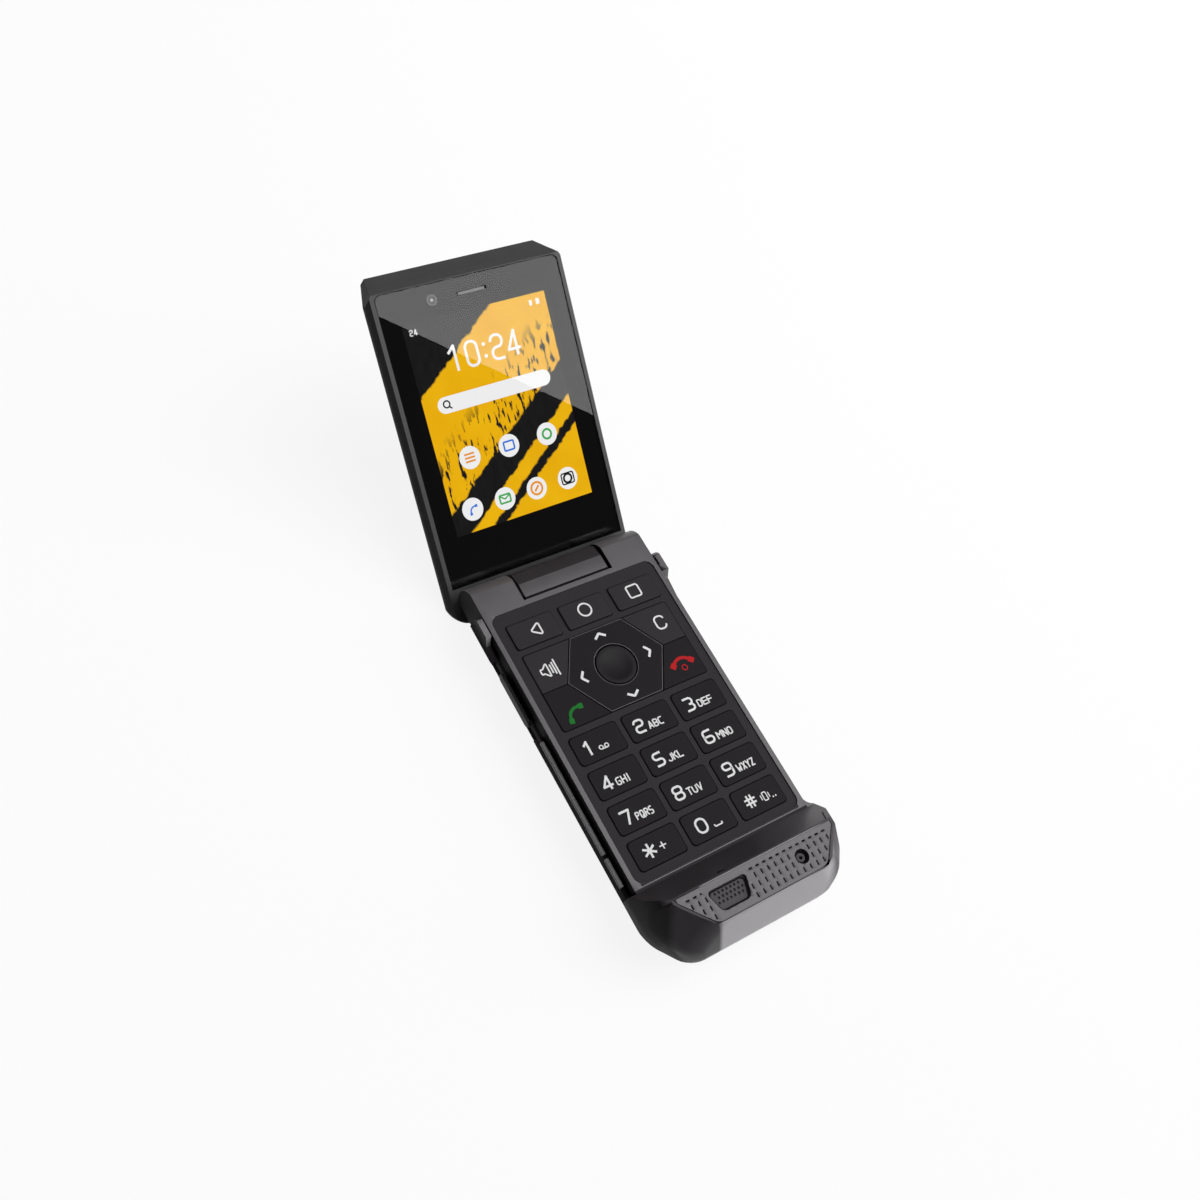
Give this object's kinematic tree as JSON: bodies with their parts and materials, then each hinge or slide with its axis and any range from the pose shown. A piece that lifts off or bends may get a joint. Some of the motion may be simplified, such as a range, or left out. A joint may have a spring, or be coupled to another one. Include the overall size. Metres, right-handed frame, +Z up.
{
  "type": "rugged flip phone",
  "caption": "Rugged flip phone standing open: hinged screen lid, keypad of pressing keys with a rocking plate, tiled speaker chin, side controls, port flap and locked battery cover.",
  "frame": {"origin": "on the flat back of the base, on the centre line, 30 mm behind the front edge of the keypad deck", "axes": "+X to the right of the keypad, +Y along the keypad from the chin to the hinge, +Z up out of the keypad"},
  "size_m": [0.0584, 0.1863, 0.0545],
  "materials": {
    "shell": "fine grain, soft touch",
    "deck": "fine satin grain",
    "lid_frame": "fine satin grain",
    "panel": "smooth satin",
    "keycap": "smooth satin with printed legends",
    "silicone": "translucent silicone",
    "film": "thin film with metal domes",
    "board": "green solder mask",
    "shield": "tinned sheet",
    "battery": "printed sleeve",
    "seal": "soft silicone",
    "lock": "dark satin",
    "insert": "moulded tile texture",
    "mesh": "fine perforated sheet",
    "module": "black housing",
    "microphone": "can",
    "flap": "matte rubber",
    "switch": "moulded",
    "screw": "black oxide",
    "hinge_steel": "ground",
    "pivot": "moulded",
    "screen_glass": "polished, black border",
    "display": "lit panel",
    "outer_glass": "polished, smoked"
  },
  "bodies": {
    "base": {"rear_shell": "shell", "deck_frame": "deck", "keypad_panel": "panel", "key_mat": "silicone", "dome_sheet": "film", "main_board": "board", "shield_cans": "shield", "battery_pack": "battery", "battery_cover": "shell", "cover_seal": "seal", "chin_insert": "insert", "speaker_mesh": "mesh", "loudspeaker": "module", "microphone": "microphone", "usb_socket": "shield", "side_switches": "switch", "side_strips": "insert", "case_screws": "screw", "hinge_cam_unit": "hinge_steel", "hinge_pin": "hinge_steel"},
    "lid": {"lid_front_frame": "lid_frame", "hinge_barrel": "deck", "hinge_shaft": "hinge_steel", "lid_rear_shell": "shell", "screen_glass": "screen_glass", "display_panel": "display", "lid_board": "board", "earpiece": "module", "front_camera": "module", "outer_glass": "outer_glass", "outer_display": "display", "rear_camera": "module", "lid_screws": "screw"},
    "back_key": {"back_key": "keycap"},
    "home_key": {"home_key": "keycap"},
    "recents_key": {"recents_key": "keycap"},
    "speaker_key": {"speaker_key": "keycap"},
    "clear_key": {"clear_key": "keycap"},
    "call_key": {"call_key": "keycap"},
    "end_key": {"end_key": "keycap"},
    "ok_key": {"ok_key": "keycap"},
    "key_1": {"key_1": "keycap"},
    "key_2": {"key_2": "keycap"},
    "key_3": {"key_3": "keycap"},
    "key_4": {"key_4": "keycap"},
    "key_5": {"key_5": "keycap"},
    "key_6": {"key_6": "keycap"},
    "key_7": {"key_7": "keycap"},
    "key_8": {"key_8": "keycap"},
    "key_9": {"key_9": "keycap"},
    "star_key": {"star_key": "keycap"},
    "key_0": {"key_0": "keycap"},
    "hash_key": {"hash_key": "keycap"},
    "dpad_pivot": {"dpad_pivot": "pivot"},
    "dpad_plate": {"dpad_plate": "keycap"},
    "cover_lock": {"cover_lock": "lock"},
    "port_flap": {"port_flap": "flap"},
    "volume_rocker": {"volume_rocker": "flap"},
    "side_key": {"side_key": "flap"}
  },
  "joints": [
    {"name": "lid_hinge", "type": "hinge", "parent": "base", "child": "lid", "pos_m": [0, 0.0547, 0.0081], "axis": [1, 0, 0], "range_deg": [0, 142.5]},
    {"name": "back_key_press", "type": "slide", "parent": "base", "child": "back_key", "axis": [0, 0, -1], "range_m": [0, 0.00035], "stiffness_N_per_m": 4000},
    {"name": "home_key_press", "type": "slide", "parent": "base", "child": "home_key", "axis": [0, 0, -1], "range_m": [0, 0.00035], "stiffness_N_per_m": 4000},
    {"name": "recents_key_press", "type": "slide", "parent": "base", "child": "recents_key", "axis": [0, 0, -1], "range_m": [0, 0.00035], "stiffness_N_per_m": 4000},
    {"name": "speaker_key_press", "type": "slide", "parent": "base", "child": "speaker_key", "axis": [0, 0, -1], "range_m": [0, 0.00035], "stiffness_N_per_m": 4000},
    {"name": "clear_key_press", "type": "slide", "parent": "base", "child": "clear_key", "axis": [0, 0, -1], "range_m": [0, 0.00035], "stiffness_N_per_m": 4000},
    {"name": "call_key_press", "type": "slide", "parent": "base", "child": "call_key", "axis": [0, 0, -1], "range_m": [0, 0.00035], "stiffness_N_per_m": 4000},
    {"name": "end_key_press", "type": "slide", "parent": "base", "child": "end_key", "axis": [0, 0, -1], "range_m": [0, 0.00035], "stiffness_N_per_m": 4000},
    {"name": "ok_key_press", "type": "slide", "parent": "base", "child": "ok_key", "axis": [0, 0, -1], "range_m": [0, 0.00035], "stiffness_N_per_m": 4000},
    {"name": "key_1_press", "type": "slide", "parent": "base", "child": "key_1", "axis": [0, 0, -1], "range_m": [0, 0.00035], "stiffness_N_per_m": 4000},
    {"name": "key_2_press", "type": "slide", "parent": "base", "child": "key_2", "axis": [0, 0, -1], "range_m": [0, 0.00035], "stiffness_N_per_m": 4000},
    {"name": "key_3_press", "type": "slide", "parent": "base", "child": "key_3", "axis": [0, 0, -1], "range_m": [0, 0.00035], "stiffness_N_per_m": 4000},
    {"name": "key_4_press", "type": "slide", "parent": "base", "child": "key_4", "axis": [0, 0, -1], "range_m": [0, 0.00035], "stiffness_N_per_m": 4000},
    {"name": "key_5_press", "type": "slide", "parent": "base", "child": "key_5", "axis": [0, 0, -1], "range_m": [0, 0.00035], "stiffness_N_per_m": 4000},
    {"name": "key_6_press", "type": "slide", "parent": "base", "child": "key_6", "axis": [0, 0, -1], "range_m": [0, 0.00035], "stiffness_N_per_m": 4000},
    {"name": "key_7_press", "type": "slide", "parent": "base", "child": "key_7", "axis": [0, 0, -1], "range_m": [0, 0.00035], "stiffness_N_per_m": 4000},
    {"name": "key_8_press", "type": "slide", "parent": "base", "child": "key_8", "axis": [0, 0, -1], "range_m": [0, 0.00035], "stiffness_N_per_m": 4000},
    {"name": "key_9_press", "type": "slide", "parent": "base", "child": "key_9", "axis": [0, 0, -1], "range_m": [0, 0.00035], "stiffness_N_per_m": 4000},
    {"name": "star_key_press", "type": "slide", "parent": "base", "child": "star_key", "axis": [0, 0, -1], "range_m": [0, 0.00035], "stiffness_N_per_m": 4000},
    {"name": "key_0_press", "type": "slide", "parent": "base", "child": "key_0", "axis": [0, 0, -1], "range_m": [0, 0.00035], "stiffness_N_per_m": 4000},
    {"name": "hash_key_press", "type": "slide", "parent": "base", "child": "hash_key", "axis": [0, 0, -1], "range_m": [0, 0.00035], "stiffness_N_per_m": 4000},
    {"name": "dpad_up_down", "type": "hinge", "parent": "base", "child": "dpad_pivot", "pos_m": [0, 0.0247, 0.0125], "axis": [1, 0, 0], "range_deg": [-1.2, 1.2], "stiffness_Nm_per_rad": 0.3},
    {"name": "dpad_left_right", "type": "hinge", "parent": "dpad_pivot", "child": "dpad_plate", "pos_m": [0, 0.0247, 0.0125], "axis": [0, 1, 0], "range_deg": [-1.2, 1.2], "stiffness_Nm_per_rad": 0.3},
    {"name": "volume_rock", "type": "hinge", "parent": "base", "child": "volume_rocker", "pos_m": [-0.0267, 0.0275, 0.0091], "axis": [0, 0, 1], "range_deg": [-1.5, 1.5], "stiffness_Nm_per_rad": 0.2},
    {"name": "side_key_press", "type": "slide", "parent": "base", "child": "side_key", "axis": [-1, 0, 0], "range_m": [0, 0.00035], "stiffness_N_per_m": 4000},
    {"name": "port_flap_hinge", "type": "hinge", "parent": "base", "child": "port_flap", "pos_m": [0.02673, -0.01825, 0.00636], "axis": [0.4258, 0, 0.9048], "range_deg": [0, 100]},
    {"name": "cover_lock_turn", "type": "hinge", "parent": "base", "child": "cover_lock", "pos_m": [0, 0.0366, 0.0007], "axis": [0, 0, 1], "range_deg": [0, 90]}
  ]
}
